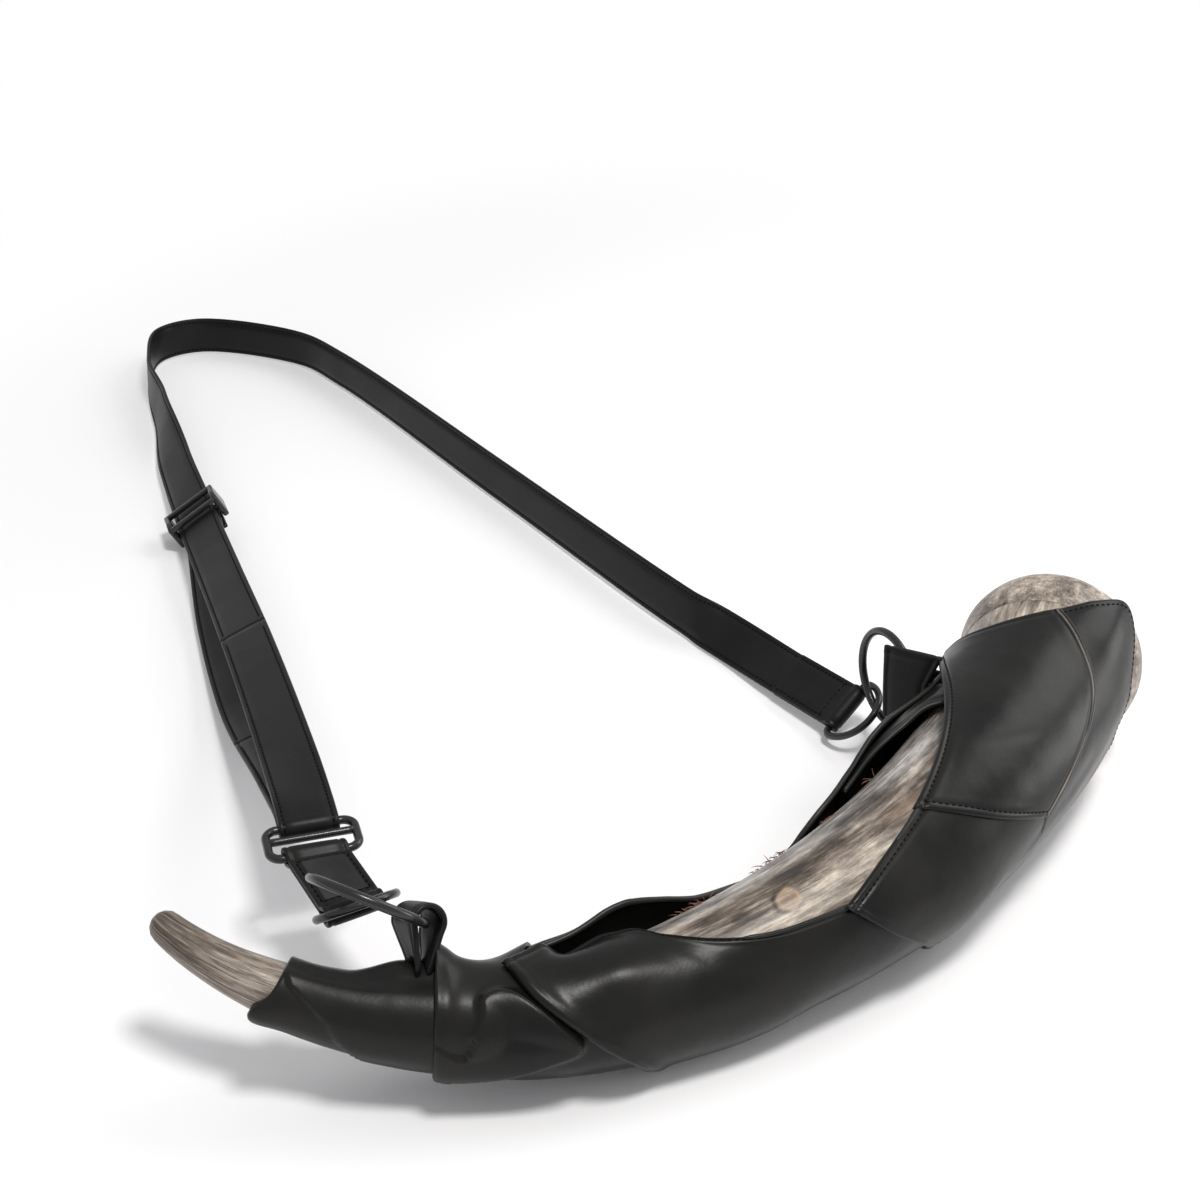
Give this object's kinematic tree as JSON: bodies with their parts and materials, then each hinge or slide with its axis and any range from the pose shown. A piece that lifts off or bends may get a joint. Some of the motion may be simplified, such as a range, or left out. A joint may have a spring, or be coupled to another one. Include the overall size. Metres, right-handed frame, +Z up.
{
  "type": "horn flask",
  "caption": "Curved natural horn flask with a domed base plug, a stitched leather sleeve with an open window, and a leather carrying strap on rings.",
  "frame": {"origin": "on the floor under the belly of the sleeve, where the flask rests", "axes": "+Z up, +X along the horn from the belly towards the wide end, +Y towards the carrying strap"},
  "size_m": [0.4532, 0.5942, 0.0753],
  "materials": {
    "horn": "satin natural horn with long pale and dark streaks",
    "plug": "polished pale dome",
    "seal": "soft matt",
    "sleeve_leather": "smooth black with a soft sheen",
    "strap_leather": "satin black with stitched edges",
    "black_metal": "satin black"
  },
  "bodies": {
    "flask": {"horn_shell": "horn", "tip_cuff": "sleeve_leather", "wrap_panel": "sleeve_leather", "front_panel": "sleeve_leather", "lower_panel": "sleeve_leather", "shoulder_panel": "sleeve_leather", "end_collar": "sleeve_leather", "back_panel": "sleeve_leather", "window_lining": "sleeve_leather", "left_tab": "sleeve_leather", "right_tab": "sleeve_leather", "strap_run": "strap_leather", "strap_loop": "strap_leather", "strap_return": "strap_leather", "strap_right_end": "strap_leather"},
    "stopper": {"base_stopper": "plug", "stopper_seal": "seal"},
    "left_link": {"left_d_ring": "black_metal", "connector_strap": "strap_leather", "oval_connector": "black_metal"},
    "left_ring_body": {"left_ring": "black_metal"},
    "right_link": {"right_d_ring": "black_metal"},
    "right_ring_body": {"right_ring": "black_metal"},
    "slider": {"strap_slider": "black_metal"}
  },
  "joints": [
    {"name": "stopper_pull", "type": "slide", "parent": "flask", "child": "stopper", "axis": [0.3825, 0.9234, 0.0318], "range_m": [0, 0.036]},
    {"name": "left_ring_swing", "type": "hinge", "parent": "flask", "child": "left_link", "pos_m": [-0.07422, 0.00065, 0.04868], "axis": [-0.4606, 0.7146, -0.5265], "range_deg": [-10, 10], "deforming": ["strap_loop"]},
    {"name": "left_ring_turn", "type": "hinge", "parent": "left_link", "child": "left_ring_body", "pos_m": [-0.08893, -0.00083, 0.05772], "axis": [-0.3663, -0.617, -0.6965], "continuous": true},
    {"name": "right_ring_swing", "type": "hinge", "parent": "flask", "child": "right_link", "pos_m": [0.09655, 0.14725, 0.03636], "axis": [0.06, 0.0387, -0.9974], "range_deg": [-8, 8], "deforming": ["strap_right_end"]},
    {"name": "right_ring_turn", "type": "hinge", "parent": "right_link", "child": "right_ring_body", "pos_m": [0.08998, 0.16201, 0.03306], "axis": [0.9135, 0.4067, 0], "continuous": true},
    {"name": "slider_slide", "type": "slide", "parent": "flask", "child": "slider", "axis": [-0.3277, 0.9419, -0.0739], "range_m": [-0.008, 0.008], "deforming": ["strap_return"]}
  ]
}
